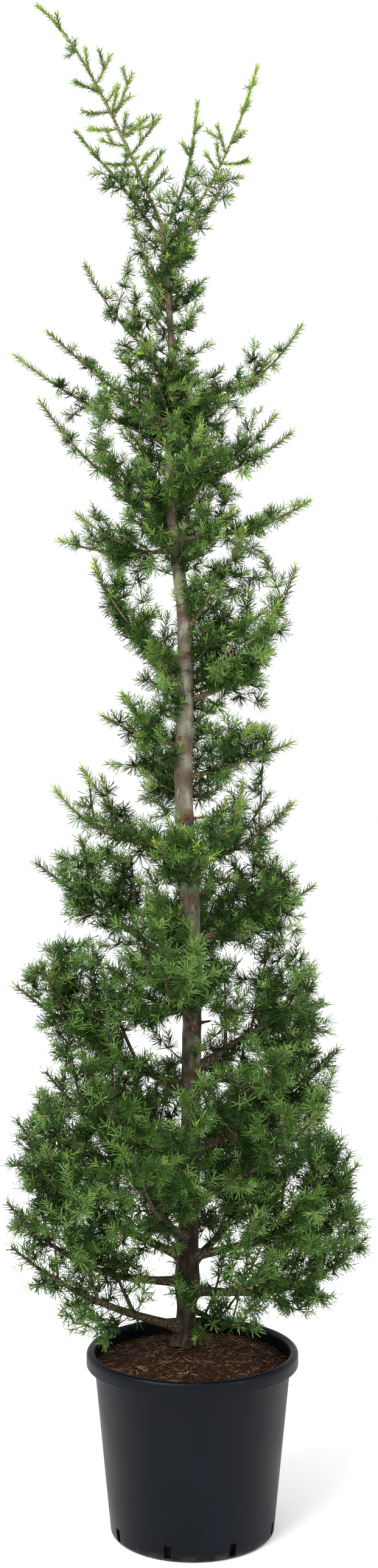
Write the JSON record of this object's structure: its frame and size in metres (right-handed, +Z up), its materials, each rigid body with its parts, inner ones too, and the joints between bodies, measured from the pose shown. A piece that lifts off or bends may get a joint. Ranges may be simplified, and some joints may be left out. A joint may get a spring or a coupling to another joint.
{
  "type": "potted young atlas cedar tree",
  "caption": "Slender young atlas cedar with a leaning twin top, tiered rising limbs of green needle tufts and a full skirt, growing in a round dark nursery container.",
  "frame": {"origin": "centre of the pot's flat underside", "axes": "+Z up along the pot's axis and the length of the tree; the picture looks along +Y, and +X is its right"},
  "size_m": [0.7181, 0.5952, 2.8972],
  "materials": {
    "black_plastic": "satin moulded polypropylene, blue-black, scuffed",
    "bark_mulch": "moist shredded bark and peat, rough",
    "cedar_bark": "thin grey-brown bark with fine pores and pale streaks",
    "cedar_bark_low": "darker brown bark of the low limbs",
    "cedar_needles": "waxy green needles, fresher and yellower at the tips"
  },
  "bodies": {
    "root": {"pot": "black_plastic", "soil": "bark_mulch", "trunk": "cedar_bark", "bough_broad_left": "cedar_bark_low", "bough_full_right": "cedar_bark_low", "bough_full_left": "cedar_bark_low", "bough_low_right": "cedar_bark_low", "bough_low_left": "cedar_bark_low", "bough_low_back": "cedar_bark_low", "bough_skirt_left": "cedar_bark_low", "bough_skirt_right": "cedar_bark_low", "bough_foot_left": "cedar_bark_low", "foliage_leader": "cedar_needles", "foliage_top_middle": "cedar_needles", "foliage_top_right": "cedar_needles", "foliage_top_left": "cedar_needles", "foliage_crest_right": "cedar_needles", "foliage_crest_front": "cedar_needles", "foliage_crest_back": "cedar_needles", "foliage_crest_left": "cedar_needles", "foliage_upper_right": "cedar_needles", "foliage_upper_front": "cedar_needles", "foliage_upper_left_front": "cedar_needles", "foliage_upper_left": "cedar_needles", "foliage_upper_back": "cedar_needles", "foliage_fore_right": "cedar_needles", "foliage_fore_front": "cedar_needles", "foliage_fore_left": "cedar_needles", "foliage_fore_back": "cedar_needles", "foliage_shoulder_right": "cedar_needles", "foliage_shoulder_left": "cedar_needles", "foliage_waist_front": "cedar_needles", "foliage_waist_hook_left": "cedar_needles", "foliage_waist_back_right": "cedar_needles", "foliage_waist_back": "cedar_needles", "foliage_waist_hook_right": "cedar_needles", "foliage_waist_left": "cedar_needles", "foliage_waist_right": "cedar_needles", "foliage_middle_back": "cedar_needles", "foliage_middle_left": "cedar_needles", "foliage_middle_right": "cedar_needles", "foliage_middle_front": "cedar_needles", "foliage_broad_right": "cedar_needles", "foliage_broad_left": "cedar_needles", "foliage_broad_back": "cedar_needles", "foliage_broad_front": "cedar_needles", "foliage_full_right": "cedar_needles", "foliage_full_left": "cedar_needles", "foliage_full_back_right": "cedar_needles", "foliage_full_front_left": "cedar_needles", "foliage_full_front_right": "cedar_needles", "foliage_low_front": "cedar_needles", "foliage_low_back_left": "cedar_needles", "foliage_low_right": "cedar_needles", "foliage_low_left": "cedar_needles", "foliage_low_back": "cedar_needles", "foliage_skirt_left": "cedar_needles", "foliage_skirt_right": "cedar_needles", "foliage_foot_front": "cedar_needles", "foliage_foot_left": "cedar_needles"}
  },
  "joints": []
}
